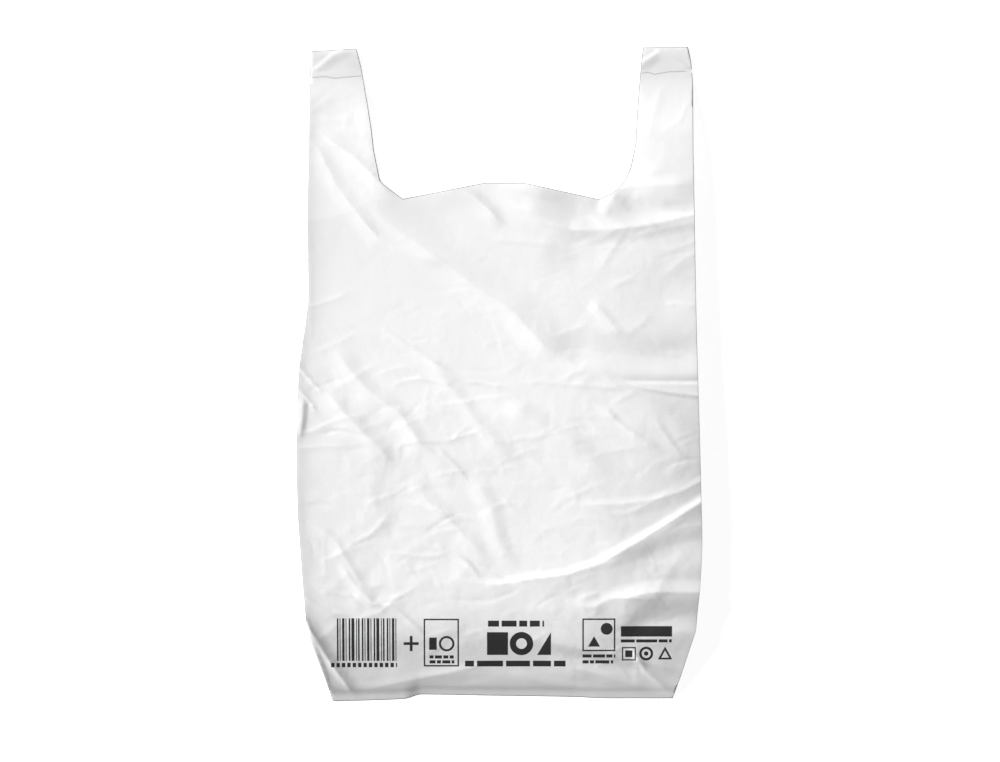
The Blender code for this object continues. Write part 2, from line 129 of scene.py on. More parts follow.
# The front panel climbs a little at its left side and falls at its right one: the climb, the fall as a share
# of the panel's rise, and how late each comes (the right one's as height up the bag, power)
LEFT_CLIMB = 0.0030
LEFT_POWER = 9
RIGHT_FALL = 0.45
RIGHT_POWER = (
    (0.0, 3.0), (CORNER_RISE, 3.0), (0.113, 2.8), (0.161, 4.0), (0.195, 5.0), (0.252, 3.2), (0.300, 2.3),
    (0.356, 2.2), (MOUTH_HEIGHT, 2.6), (LENGTH, 3.0),
)
EDGE_LINE = 0.0005  # width of the film's edge band, coloured dark grey as painted shade along the outline, which shows as a thin grey line
EDGE_POWER = 1500  # how suddenly the film turns down at the sides, and how roundly it does so
CROWN_POWER = 0.6
# The die-cut edge, from the left handle's outer corner to the right handle's (X, depth below the handle tops)
CUT = (
    (-0.1527, 0.0036), (-0.1159, 0.0013), (-0.1120, 0.0164), (-0.1107, 0.0242), (-0.1068, 0.0464),
    (-0.1035, 0.0676), (-0.1017, 0.0838), (-0.0992, 0.0960), (-0.0968, 0.1081), (-0.0936, 0.1118),
    (-0.0782, 0.1235), (-0.0134, 0.1106), (0.0207, 0.1106), (0.0798, 0.1235), (0.0911, 0.1187),
    (0.1000, 0.1106), (0.1057, 0.0984), (0.1098, 0.0798), (0.1115, 0.0505), (0.1130, 0.0320),
    (0.1139, 0.0207), (0.1160, 0.0004), (0.1527, 0.0),
)
MOUTH_CORNER = 0.078  # the cut's points farther than this from the middle belong to a handle

# The mesh: distances between points of the front, the back and the gussets, and points along the outlines
SPACING = 0.00155
BACK_SPACING = 0.0055
GUSSET_SPACING = 0.0045
SIDE_SHARES = np.linspace(0, 1, 150)
BOTTOM_STEPS = 90
ROW_STEP = 0.866  # in spacings: between rows of points, how far points stray, and their gap to lines
STRAY = 0.12
CLEAR = 0.45
SAME_POINT = 1e-7  # points closer than this become one
SHORTEST = 1e-12  # stands in for the square of no length
random = np.random.default_rng(7)


def linked(name, data):
    """A new object in the scene."""
    made = bpy.data.objects.new(name, data)
    bpy.context.scene.collection.objects.link(made)
    return made


def place(px, py):
    """The place on the floor that shows at a pixel of the photograph."""
    return ((px - MIDDLE_PX[0]) * PIXEL, (MIDDLE_PX[1] - py) * PIXEL)


def under_camera(px, py, lift):
    """The place that shows at a pixel of the photograph when it lies at a height over the floor."""
    x, y = place(px, py)
    middle = place(IMAGE[0] / 2, IMAGE[1] / 2)
    nearer = 1 - lift / CAMERA_HEIGHT
    return (middle[0] + (x - middle[0]) * nearer, middle[1] + (y - middle[1]) * nearer)


def through(knots, at):
    """Values at places (an array) on a smooth curve through knots (place, value), with no overshoot."""
    at = np.asarray(at, float)
    places = np.array([k[0] for k in knots])
    values = np.array([k[1] for k in knots])
    steps = np.diff(places)
    slopes = np.diff(values) / steps
    tangents = np.zeros(len(places))
    tangents[0], tangents[-1] = slopes[0], slopes[-1]
    same = slopes[:-1] * slopes[1:] > 0
    both = np.where(same, slopes[:-1] + slopes[1:], 1.0)
    tangents[1:-1] = np.where(same, 2 * slopes[:-1] * slopes[1:] / both, 0.0)
    i = np.clip(np.searchsorted(places, at, side="right") - 1, 0, len(steps) - 1)
    t = np.clip((at - places[i]) / steps[i], 0.0, 1.0)
    rise = values[i + 1] - values[i]
    bend = steps[i] * (tangents[i] * t * (1 - t) ** 2 - tangents[i + 1] * t * t * (1 - t))
    return values[i] + rise * t * t * (3 - 2 * t) + bend


def smooth(t):
    """0 up to 0, 1 from 1 on, and an even curve between them."""
    t = np.clip(t, 0.0, 1.0)
    return t * t * (3 - 2 * t)


def side_x(side, height):
    """X of the bag's left (-1) or right (1) side."""
    return through(RIGHT_EDGE, height) if side > 0 else -through(LEFT_EDGE, height)


def fold_in(height):
    """How far a gusset reaches in under the front panel."""
    return through(
        ((0.0, GUSSET_DEPTH), (WELD_LIP + WELD_LINE, GUSSET_DEPTH), (CORNER_RISE, CORNER_FOLD_IN),
         (BELLY, BODY_FOLD_IN), (MOUTH_HEIGHT, MOUTH_FOLD_IN), (WELD_HEIGHT, GUSSET_DEPTH),
         (LENGTH, GUSSET_DEPTH)),
        height,
    )


def lifted(height, body, strap, skirt):
    """The height over the floor of a line up the bag, through the welds and through knots for its body."""
    return through(
        ((0.0, BOTTOM_LIFT - LIP_DROP), (BOTTOM_WELDED, BOTTOM_LIFT), *body,
         ((MOUTH_HEIGHT + WELD_HEIGHT) / 2, strap), (TOP_WELDED, WELD_LIFT), (TOP_LOOSE, WELD_LIFT),
         (LENGTH, skirt)),
        height,
    )


def along(height, low, belly, mouth, strap, skirt):
    """The same, from the heights at the corners, belly, mouth, straps and skirts."""
    return lifted(height, ((CORNER_RISE, low), (BELLY, belly), (MOUTH_HEIGHT, mouth)), strap, skirt)


def back_edge(height):
    return along(height, *BACK_EDGE_LIFTS)


def front_edge(side, height):
    belly = LEFT_SIDE if side < 0 else RIGHT_SIDE
    low = CORNER_SIDE[0] * belly + CORNER_SIDE[1]
    mouth = MOUTH_SIDE[0] * belly + MOUTH_SIDE[1]
    return STACK + along(height, low, belly, mouth, STRAP_EDGE_LIFT, SKIRT_EDGE_LIFT)


def front_middle(height):
    return STACK + lifted(height, FRONT_CREST, STRAP_LIFT, SKIRT_LIFT)


def crown(u, height):
    """How the front panel rises from its sides to its crest: at once on the left, slowly on the right."""
    out = np.abs(u)
    right = 1 - RIGHT_FALL * out ** through(RIGHT_POWER, height)
    return np.where(u < 0, 1.0, right) * (1 - out**EDGE_POWER) ** CROWN_POWER


def left_climb(u, height):
    """How much higher the panel lies at its left side, down to where the film turns over the side's fold."""
    out = np.clip(-u, 0, 1)
    return LEFT_CLIMB * out**LEFT_POWER * (1 - out**EDGE_POWER) * crisp(height)


def back_middle(height):
    return along(height, *BACK_MIDDLE_LIFTS)


def pressed(height):
    """1 where the layers are pressed flat for a weld, and 0 where the bag is open."""
    return through(
        ((0.0, 1.0), (BOTTOM_WELDED, 1.0), (CORNER_RISE, 0.0), (WELD_HEIGHT - WELD_FADE, 0.0),
         (TOP_WELDED, 1.0), (TOP_LOOSE, 1.0), (LENGTH, 0.7)),
        height,
    )


def crisp(height):
    """How much of a crease of the front panel there is at a height: nearly nothing in the welds."""
    return through(
        ((0.0, 0.1), (BOTTOM_WELDED, 0.15), (0.25 * CORNER_RISE, 0.7), (0.5 * CORNER_RISE, 1.0),
         (WELD_HEIGHT - WELD_FADE, 1.0), (TOP_WELDED, 0.1), (LENGTH, 0.1)),
        height,
    )


def parted(height):
    """0 where a gusset's layers meet at its inner fold, 1 in the handles, where the die has cut it off."""
    return smooth((height - MOUTH_HEIGHT - PART_FROM) / PART_OVER) * (1 - pressed(height))


def height_at(x, y):
    """How far up the bag a place is, along the film."""
    up = np.asarray(y, float) + LENGTH / 2
    edge = through(BOTTOM_EDGE, x)
    return np.where(up < EDGE_REACH, (up - edge) / (1 - edge / EDGE_REACH), up)


# Creases of the front panel: pixels of the photograph, rise in mm, width in mm to the left and to the right
# of the way they run, and how sharp their crest is (0 round, 1 a fold)
CREASES = (
    # the two long bright folds that run to the right edge, and the creases around them
    (((440, 572), (470, 582), (496, 584), (530, 578), (566, 573.5), (600, 562), (636, 541.5),
      (664, 524.5), (698, 503), (790, 440)), 1.9, 6.5, 24, 0.95),
    (((600, 572), (640, 558), (680, 545), (760, 530)), -1.6, 14, 22, 0.1),
    (((550, 509), (565, 505), (590, 503.5), (620, 503.5), (652, 500), (680, 491), (700, 481),
      (790, 440)), 0.8, 6, 13, 0.9),
    (((590, 503), (600, 508), (612, 514), (625, 513), (640, 507), (652, 503)), 0.3, 4, 6, 0.8),
    (((545, 515), (552, 508), (560, 500), (570, 496), (580, 492), (597, 484.5),
      (612, 478)), 0.17, 4, 8, 0.9),
    (((700, 470), (668, 492), (640, 508), (620, 520)), 0.2, 10, 5, 0.7),
    # the pleat in the right edge, half way up, and the creases that run into it
    (((600, 372), (623, 380.5), (650, 381.5), (698, 382), (780, 381)), -1.2, 8, 2.2, 0.9),
    (((612, 378), (625, 384), (645, 388.5), (665, 392), (697, 396), (780, 404)), 1.1, 7, 3.5, 0.9),
    (((520, 383), (540, 382), (560, 384), (588, 388)), 0.36, 6, 4, 0.8),
    (((570, 383), (600, 387), (625, 389)), 0.4, 5, 4, 0.8),
    (((590, 405), (608, 412), (620, 424), (636, 436), (650, 443), (664, 449)), 0.8, 5, 10, 0.8),
    (((652, 414), (668, 440), (678, 452), (692, 464)), 0.44, 6, 9, 0.7),
    (((556, 382), (565, 378), (572, 374), (582, 370), (589, 358)), 0.15, 4, 5, 0.9),
    (((500, 398), (525, 415), (545, 427), (568, 438), (596, 454)), 1.2, 12, 16, 0.3),
    # the long soft ridge from the left handle to the right edge
    (((345, 190), (400, 232), (430, 253), (470, 283), (513, 312), (545, 347), (575, 366), (600, 376),
      (628, 390), (648, 400), (666, 410), (684, 432), (700, 450)), 2.1, 26, 17, 0.5),
    (((352, 208), (363, 220), (378, 238), (400.7, 250), (417.5, 257), (450, 268)), 1.21, 9, 14, 0.8),
    (((590, 300), (600, 310), (615, 328), (626, 337)), 0.65, 7, 12, 0.7),
    (((622, 338), (632, 331), (640, 325), (652, 312)), 0.24, 10, 6, 0.7),
    (((545, 338), (556, 336), (566, 332), (576, 329), (590, 322)), 0.23, 5, 9, 0.8),
    (((540, 250), (590, 266), (640, 290), (700, 310)), -1.8, 26, 26, 0.1),
    (((540, 345), (590, 352), (650, 356), (720, 356)), -2.0, 20, 18, 0.1),
    (((664, 303), (682, 305), (698, 308)), 0.35, 4, 5, 0.8),
    (((664, 352), (680, 355), (692, 359), (710, 366)), 0.54, 5, 5, 0.8),
    # under the mouth and at the right shoulder
    (((440, 172), (455, 186), (475, 197), (490, 211), (506, 228)), 1.3, 8, 12, 0.7),
    (((400, 196), (440, 186), (480, 181), (525, 183), (580, 195), (615, 206)), 1.6, 12, 24, 0.3),
    (((500, 182), (540, 187), (575, 194), (615, 210)), 1.0, 8, 17, 0.5),
    (((592, 196), (625, 188), (655, 186), (700, 184)), 1.2, 10, 19, 0.4),
    (((500, 186), (524, 196), (560, 204), (584, 216), (610, 234)), -1.2, 13, 12, 0.4),
    (((500, 212), (522, 219), (550, 225), (570, 230), (610, 230), (650, 225), (690, 216),
      (760, 200)), 1.9, 13, 13, 0.7),
    (((590, 184), (617, 193), (634, 203), (660, 212), (720, 216)), -2.0, 12, 12, 0.4),
    (((606, 196), (625, 187), (645, 176), (670, 166)), 0.42, 10, 9, 0.4),
    (((527, 222), (535, 203), (543, 176)), 2.6, 38, 36, 0.1),
    (((603, 222), (611, 204), (620, 184)), 1.7, 12, 26, 0.1),
    (((612, 236), (622, 300), (628, 376)), 1.1, 80, 58, 0.1),
    (((548, 640), (600, 588), (652, 536)), 1.6, 90, 55, 0.1),
    (((485, 242), (500, 241), (525, 243), (548, 245), (565, 244)), 0.32, 9, 4, 0.8),
    (((566, 249), (580, 246), (600, 239), (612, 233), (624, 224)), 0.24, 5, 9, 0.9),
    (((600, 270), (606, 260), (612, 250), (620, 238), (628, 228)), 0.24, 8, 5, 0.8),
    (((620, 238), (640, 235), (668, 228), (694, 222), (740, 210)), 0.3, 6, 9, 0.9),
    (((638, 250), (650, 249), (665, 251), (690, 244), (698, 239), (730, 225)), 0.21, 4, 7, 0.9),
    (((655, 284), (665, 274), (680, 262), (697, 252), (740, 226)), 0.33, 7, 10, 0.9),
    # the network of small creases on the left and in the middle
    (((328, 393), (340, 386), (351, 380), (362, 372), (372, 367), (382, 360)), 0.23, 4.3, 7.8, 0.8),
    (((318, 434), (340, 430), (368, 438)), -0.4, 3.6, 3.9, 0.8),
    (((290, 448), (311, 447), (330, 446), (350, 447)), 0.28, 2.9, 4.7, 0.9),
    (((306, 391), (325, 384), (344, 378)), -0.23, 3.6, 3.9, 0.8),
    (((308, 356), (322, 350), (340, 342), (358, 334)), 0.21, 3.6, 6.2, 0.8),
    (((322, 386), (344, 412), (364, 433), (382, 450), (398, 470)), 1.3, 11, 15, 0.6),
    (((330, 340), (350, 370), (372, 393), (402, 415), (420, 444), (444, 462),
      (470, 472)), 1.3, 11, 14, 0.6),
    (((380, 328), (398, 340), (412, 348), (430, 360), (447, 372), (465, 380),
      (486, 386)), 0.6, 5, 6.2, 0.8),
    (((436, 362), (455, 369), (480, 371), (515, 370)), -0.15, 4.3, 3.9, 0.8),
    (((388, 387), (400, 382), (415, 379), (428, 377)), 0.2, 2.9, 3.9, 0.8),
    (((408, 378), (420, 379), (435, 381), (456, 387)), 0.4, 3.6, 3.1, 0.8),
    (((428, 407), (440, 405), (465, 402), (485, 398), (500, 397), (520, 395)), 0.3, 3.6, 10.9, 0.8),
    (((438, 445), (449, 440), (460, 436), (478, 432), (487, 438), (500, 441),
      (514, 446)), 0.39, 3.6, 4.7, 0.8),
    (((392, 449), (403, 444), (420, 441), (440, 441), (452, 443)), 0.31, 5.8, 3.9, 0.8),
    (((434, 446), (450, 459), (461, 471), (470, 484)), 0.43, 3.6, 6.2, 0.8),
    (((360, 508), (375, 500), (390, 495), (400, 490), (415, 481)), 0.25, 4.3, 5.5, 0.8),
    (((400, 498), (412, 502), (430, 508), (455, 515), (478, 520)), 0.6, 3.6, 7, 0.8),
    (((462, 381), (485, 384), (508, 388)), 0.34, 2.9, 2.3, 0.8),
    (((420, 350), (450, 385), (480, 425), (520, 470)), 0.7, 10.1, 10.9, 0.3),
    (((470, 398), (493, 408), (532.5, 425), (583, 453), (620, 485)), 1.1, 20, 18, 0.3),
    (((470, 470), (490, 505), (500, 545), (520, 570)), 0.8, 11.5, 12.5, 0.2),
    (((400, 480), (430, 500), (470, 540), (490, 565)), 0.8, 10.1, 10.9, 0.3),
    # the left edge
    (((285, 436), (300, 434), (313, 431), (328, 424), (340, 419), (358, 416),
      (378, 412)), 0.33, 4.3, 6.2, 0.9),
    (((290, 312), (311, 307), (336, 299), (352, 292)), 0.23, 3.6, 4.7, 0.8),
    (((312, 236), (312.5, 260), (311.5, 300), (312, 356)), 0.1, 2.2, 3.1, 0.9),
    (((325, 524), (325.5, 550), (325, 590)), 0.1, 2.2, 3.1, 0.9),
    # lower left
    (((314, 567), (329, 558), (345, 551), (356, 542), (372, 533), (383, 521),
      (396, 507)), 0.36, 5, 9.4, 0.9),
    (((306, 518), (337, 540), (343, 552), (358, 578), (378, 609)), 0.68, 6.5, 10.9, 0.6),
    (((338, 560), (355, 584), (371, 600), (388, 612)), 0.55, 4.3, 7.8, 0.7),
    (((386, 552), (400, 553), (420, 556), (437, 555), (452, 552)), 0.38, 3.6, 4.7, 0.8),
    (((430, 540), (442, 548), (454, 554), (464, 560), (473, 568), (482, 580)), 0.72, 3.6, 4.7, 0.9),
    (((460, 554), (475, 563), (490, 569), (505, 577), (524, 585)), -0.7, 4.3, 3.1, 0.8),
    (((436, 596), (448, 599), (470, 600), (490, 600), (510, 593), (528, 582)), -0.29, 5, 3.9, 0.8),
    (((350, 622), (365, 616), (380, 612), (388, 605), (395, 598), (410, 590),
      (424, 580)), 0.3, 4.3, 6.2, 0.9),
    (((384, 600), (388, 605), (400, 612), (412, 622), (426, 634)), 0.79, 4.3, 5.5, 0.8),
    (((392, 600), (388, 605), (372, 603), (350, 592)), 0.6, 4.3, 4.7, 0.8),
    (((298, 592), (316, 603), (332, 611), (354, 616)), 0.6, 3.6, 5.5, 0.8),
    (((308, 581), (330, 590), (350, 596), (366, 610)), 0.5, 3.6, 5.5, 0.8),
    # folds that fan out of the bottom corners
    (((300, 606), (317, 640), (332, 664), (352, 692), (368, 720)), 1.9, 9, 5, 0.8),
    (((335, 678), (352, 687), (366, 690), (385, 685), (420, 678), (450, 672), (480, 665),
      (506, 657)), 0.8, 7, 9, 0.8),
    (((356, 702), (390, 697), (421, 688), (460, 683), (504, 672)), -0.27, 6, 5, 0.8),
    (((626, 640), (645, 670), (667, 690), (684, 712)), 1.3, 8, 5, 0.9),
    (((540, 652), (575, 668), (600, 674), (640, 690), (680, 716)), 1.5, 9, 12, 0.6),
    (((500, 668), (530, 679), (568, 688), (640, 701)), 0.8, 8, 9, 0.6),
    (((520, 636), (580, 648), (640, 660), (700, 676)), 1.5, 14, 9, 0.6),
    (((636.6, 636), (636.6, 700)), 0.18, 5, 5, 0.7),
    # the shoulder over the right bottom corner
    (((560, 592), (570, 600), (585, 606), (594, 607), (605, 600), (616, 597), (652, 598),
      (670, 591)), 0.85, 8, 10, 0.9),
    (((572, 600), (580, 598), (598, 592), (612, 597), (624, 604)), 0.35, 4, 5, 0.9),
    (((590, 566), (640, 557), (680, 547), (760, 530)), 1.6, 24, 55, 0.2),
    (((600, 596), (625, 597.5), (645, 593), (660, 591), (680, 591.5), (699, 592),
      (770, 594)), 3.3, 12, 28, 0.6),
    (((640, 608), (656, 590), (672, 566), (684, 548)), 0.27, 8, 10, 0.7),
    (((620, 640), (650, 620), (690, 615), (750, 618)), -1.4, 16, 16, 0.1),
    # handles
    (((305, 104), (314, 96), (325, 86), (340, 74)), 0.22, 6, 8, 0.7),
    (((306, 118), (318, 107), (331, 96), (348, 78)), 0.18, 5, 7, 0.7),
    (((318, 118), (336, 121), (356, 118)), 0.35, 6, 7, 0.7),
    (((316, 128), (327.7, 139), (353, 156), (378, 181), (400, 204)), 1.08, 10, 12, 0.8),
    (((308, 136), (319, 150), (336, 184), (353, 208), (372, 230)), 0.71, 11, 12, 0.7),
    (((680, 66), (671.7, 77.9), (661.3, 89.4), (656.7, 102), (652.1, 117.5), (646, 146)), 0.27, 9, 8, 0.9),
    (((690, 98), (683, 114), (677, 128)), 0.19, 6, 6, 0.9),
    # pleats that run out over the left edge
    (((286, 350), (301, 369), (312, 382), (326, 396)), 0.6, 6, 1.8, 0.9),
    (((288, 380), (301, 391), (312, 404), (318, 416)), 0.55, 5, 1.8, 0.9),
    (((302, 394), (304, 404), (303, 420), (300, 440)), 1.1, 5, 8.5, 0.5),
    (((302, 602), (311, 632), (322, 664), (335, 704), (343, 726)), 0.75, 3, 6, 0.8),
)

# Creases of the loose film above the handles' welds, which all its layers share
SKIRT_CREASES = (
    (((356, 38), (348, 47), (332, 56), (316, 70), (306, 82)), 0.5, 8, 3, 0.2),
    (((632, 72), (645, 61), (659, 52), (672, 58), (688, 67), (700, 72)), 0.7, 3, 8, 0.3),
)

# How strongly the film is crumpled: a share everywhere, and more around some places (pixels, radius, share)
CRUMPLE = (
    (400, 430, 110, 1.0), (350, 560, 70, 0.9), (470, 560, 60, 0.6), (620, 560, 80, 0.9),
    (650, 440, 60, 0.6), (620, 250, 90, 0.5), (400, 650, 90, 0.7), (600, 660, 90, 0.8),
    (330, 130, 60, 0.4), (560, 410, 70, 0.6),
)
CRUMPLE_EVERYWHERE = 0.25
END_SHARE = 0.25  # the share of a crease's length over which it dies away at each end


def segments(points):
    """The starts and the ends of a line's pieces."""
    points = np.array(points)
    return points[:-1], points[1:]


def stroke(x, y, points, rise, left, right, sharp):
    """What one crease adds: its crest along a line of points in metres, dying away at both ends."""
    reach = max(left, right)
    low, high = np.min(points, axis=0) - reach, np.max(points, axis=0) + reach
    near = np.nonzero((x > low[0]) & (x < high[0]) & (y > low[1]) & (y < high[1]))[0]
    added = np.zeros(len(x))
    if not len(near):
        return added
    px, py = x[near], y[near]
    starts, ends = segments(points)
    lengths = np.hypot(*(ends - starts).T)
    total = lengths.sum()
    best = np.full(len(near), np.inf)
    where = np.zeros(len(near))
    signed = np.zeros(len(near))
    passed = 0.0
    for a, b, length in zip(starts, ends, lengths):
        direction = (b - a) / length
        t = np.clip((px - a[0]) * direction[0] + (py - a[1]) * direction[1], 0, length)
        dx, dy = px - a[0] - t * direction[0], py - a[1] - t * direction[1]
        distance = np.hypot(dx, dy)
        closer = distance < best
        best = np.where(closer, distance, best)
        where = np.where(closer, passed + t, where)
        signed = np.where(closer, direction[0] * dy - direction[1] * dx, signed)
        passed += length
    width = np.where(signed > 0, left, right)
    t = np.clip(best / width, 0, 1)
    fold = (1 - t) ** 2
    round_top = 1 - smooth(t)
    profile = sharp * fold + (1 - sharp) * round_top
    added[near] = rise * profile * smooth(np.minimum(where, total - where) / (END_SHARE * total))
    return added


def hand_creases(creases):
    """The listed creases, in metres."""
    return [
        ([place(*p) for p in points], rise / 1000, left / 1000, right / 1000, sharp)
        for points, rise, left, right, sharp in creases
    ]


def crumple_share(x, y):
    """How strongly the film is crumpled at places."""
    share = np.full(len(x), CRUMPLE_EVERYWHERE)
    for px, py, radius, more in CRUMPLE:
        cx, cy = place(px, py)
        share += more * np.exp(-((x - cx) ** 2 + (y - cy) ** 2) / (radius * PIXEL) ** 2)
    return share


NET_REACH = 0.42  # half the side of the square that a net covers
NET_STRAY = 0.42  # how far a net's places stray, in spacings
NET_TALL = 0.02  # a net's rises are kept this tall, so that rays find them exactly


class Facets:
    """A net of flat triangles between places raised or sunk at random, as crumpled film lies."""

    def __init__(self, spacing, stretch, turn, rise):
        points = []
        turned = (math.cos(turn), math.sin(turn))
        for a in np.arange(-NET_REACH, NET_REACH, spacing):
            for b in np.arange(-NET_REACH, NET_REACH, spacing * stretch):
                u = a + random.uniform(-NET_STRAY, NET_STRAY) * spacing
                v = b + random.uniform(-NET_STRAY, NET_STRAY) * spacing * stretch
                points.append(Vector((u * turned[0] - v * turned[1], u * turned[1] + v * turned[0])))
        result = delaunay_2d_cdt(points, [], [], 0, SAME_POINT, False)
        raised = random.normal(0, rise, len(result[0]))
        corners = [(p.x, p.y, NET_TALL * z / rise) for p, z in zip(result[0], raised)]
        self.scale = rise / NET_TALL
        self.tree = BVHTree.FromPolygons(corners, [tuple(f) for f in result[2]])

    def at(self, x, y):
        down = Vector((0, 0, -1))
        found = np.zeros(len(x))
        for n, (px, py) in enumerate(zip(x, y)):
            hit = self.tree.ray_cast(Vector((px, py, 1.0)), down)[0]
            found[n] = hit.z * self.scale if hit else 0.0
        return found


# Nets from coarse to fine: spacing, how much longer one way, turn, rise
FACETS = (
    Facets(0.040, 2.2, math.radians(-52), 0.00026),
    Facets(0.018, 1.9, math.radians(-60), 0.00010),
    Facets(0.010, 2.4, math.radians(-72), 0.00008),
    Facets(0.006, 2.0, math.radians(35), 0.00005),
)

# Small faint creases in the directions that thin film takes from handling, drawn at random: in pixels and
# degrees where they start, their length, ways and bend (middle, spread), and then as for CREASES
SMALL_CREASES = 700
SMALL_START = ((300, 700), (60, 700))
SMALL_LENGTH = (9, 44)
SMALL_WAYS = (-45, 12, 20, 28, 5, 35)
SMALL_WAY_SPREAD = 9
SMALL_BEND = (-9, 8)
SMALL_PARTS = 3
SMALL_SIGNS = (-1, 1, 1, 1)
SMALL_RISE = (0.04, 0.17)
SMALL_LEFT = (1.6, 4.0)
SMALL_RIGHT = (2.5, 7.0)
SMALL_SHARP = (0.3, 1.0)
SMALL_LONGER = (0.4, 40)  # how their rise grows with their length: from a share, by 1 in so many pixels


def small_creases():
    made = []
    for _ in range(SMALL_CREASES):
        px, py = random.uniform(*SMALL_START[0]), random.uniform(*SMALL_START[1])
        heading = random.choice(SMALL_WAYS) + random.normal(0, SMALL_WAY_SPREAD)
        length = random.uniform(*SMALL_LENGTH)
        bend = random.normal(*SMALL_BEND)
        points = [place(px, py)]
        for n in range(SMALL_PARTS):
            turned = math.radians(heading + bend * n)
            px += length / SMALL_PARTS * math.cos(turned)
            py -= length / SMALL_PARTS * math.sin(turned)
            points.append(place(px, py))
        here = float(crumple_share(*(np.array([c]) for c in points[1]))[0])
        rise = random.choice(SMALL_SIGNS) * random.uniform(*SMALL_RISE) / 1000
        rise *= (SMALL_LONGER[0] + length / SMALL_LONGER[1]) * min(1.0, here)
        left, right = random.uniform(*SMALL_LEFT) / 1000, random.uniform(*SMALL_RIGHT) / 1000
        made.append((points, rise, left, right, random.uniform(*SMALL_SHARP)))
    return made


SKIRT_START = 0.003  # over what height above the welds the loose film's creases set in
HAND = hand_creases(CREASES)
SKIRTS = hand_creases(SKIRT_CREASES)
SMALL = small_creases()


def skirt_rise(x, y, height):
    """What the loose film above the handles' welds adds to each of its layers."""
    rise = np.zeros(len(x))
    for one in SKIRTS:
        rise += stroke(x, y, *one)
    return rise * smooth((height - WELD_HEIGHT - WELD_LINE) / SKIRT_START)


def across(x, height):
    """Where a place lies between the bag's sides: -1 at the left one, 1 at the right one."""
    left, right = side_x(-1, height), side_x(1, height)
    return np.clip((2 * x - left - right) / (right - left), -1, 1)


def front_z(x, y, creased=True):
    height = height_at(x, y)
    u = across(x, height)
    low = front_edge(-1, height) + (front_edge(1, height) - front_edge(-1, height)) * smooth((u + 1) / 2)
    z = low + (front_middle(height) - low) * crown(u, height) + left_climb(u, height)
    if creased:
        fine = np.zeros(len(x))
        for one in HAND + SMALL:
            fine += stroke(x, y, *one)
        share = crumple_share(x, y)
        for net in FACETS:
            fine += net.at(x, y) * share
        to_edge = np.minimum(side_x(1, height) - x, x - side_x(-1, height))
        z = z + fine * smooth(to_edge / EDGE_LINE) * crisp(height)
    return z + skirt_rise(x, y, height)


def back_z(x, y):
    height = height_at(x, y)
    u = across(x, height)
    lift = np.clip((np.abs(u) - BACK_FLAT) / (1 - BACK_FLAT), 0, 1) ** 2
    low = back_middle(height)
    return low + (back_edge(height) - low) * lift + skirt_rise(x, y, height)


def gusset_z(x, y, side, upper_layer):
    height = height_at(x, y)
    outer = side_x(side, height)
    share = np.clip(np.abs(outer - x) / fold_in(height), 0, 1)
    web = LAYER_PITCH + (FOLD_WEB - LAYER_PITCH) * (1 - pressed(height))
    upper, lower = front_edge(side, height), back_edge(height)
    inner = lower + INNER_FOLD * (upper - lower)
    bulge = np.sin(math.pi * np.sqrt(share)) * (1 - pressed(height))
    near_edge = smooth(np.abs(outer - x) / FOLD_ROUND)
    skirt = skirt_rise(x, y, height)
    if upper_layer:
        joined = upper - web * near_edge * (1 - share) + (inner - upper) * share
        apart = front_z(x, y, creased=False) - skirt - web * near_edge - UPPER_BULGE * bulge
    else:
        joined = lower + web * near_edge * (1 - share) + (inner - lower) * share
        apart = back_z(x, y) - skirt + web * near_edge + LOWER_BULGE * bulge
    return joined + (apart - joined) * parted(height) + skirt


# Flat shapes of the layers
def y_of(x, height):
    """Y of a place at a height up the bag, which slants near the bottom edge."""
    edge = float(through(BOTTOM_EDGE, x))
    return height - LENGTH / 2 + edge * max(0.0, 1 - height / EDGE_REACH)


def side_points(side):
    top = LENGTH - (CUT[0][1] if side < 0 else CUT[-1][1])
    points = []
    for share in SIDE_SHARES:
        height = top * share
        x = float(side_x(side, height))
        points.append((x, y_of(x, height)))
    return points


def panel_outline():
    """Front and back panel, anticlockwise from the bottom left corner."""
    left, right = side_points(-1), side_points(1)
    along_bottom = np.linspace(left[0][0], right[0][0], BOTTOM_STEPS)[1:-1]
    bottom = [(float(x), y_of(float(x), 0.0)) for x in along_bottom]
    cut = resampled([(x, LENGTH / 2 - depth) for x, depth in CUT], SPACING)[1:-1]
    return [left[0]] + bottom + right + cut[::-1] + left[:0:-1]


def inner_x(side, height):
    """A gusset's inner edge: its inner fold, or the die's cut in the handles."""
    fold = side_x(side, height) - side * fold_in(height)
    handle = sorted((LENGTH - depth, x) for x, depth in CUT[1:-1] if x * side > MOUTH_CORNER)
    cut = np.interp(height, *zip(*handle))
    return float(min(fold, cut) if side < 0 else max(fold, cut))


def gusset_outline(side):
    outer = side_points(side)
    top = outer[-1][1] + LENGTH / 2
    inner_top = LENGTH - (CUT[1][1] if side < 0 else CUT[-2][1])
    inner = []
    for share in SIDE_SHARES:
        height = min(top * share, inner_top)
        x = inner_x(side, height)
        inner.append((x, y_of(x, height)))
    outline = outer + inner[::-1]
    return outline if side > 0 else outline[::-1]


def inside(points, outline):
    """Which points lie inside a ring."""
    x, y = points[:, 0], points[:, 1]
    result = np.zeros(len(points), bool)
    ring = np.array(outline)
    for (ax, ay), (bx, by) in zip(ring, np.roll(ring, -1, axis=0)):
        if ay == by:
            continue
        crosses = (ay > y) != (by > y)
        at = ax + (y - ay) * (bx - ax) / (by - ay)
        result ^= crosses & (x < at)
    return result


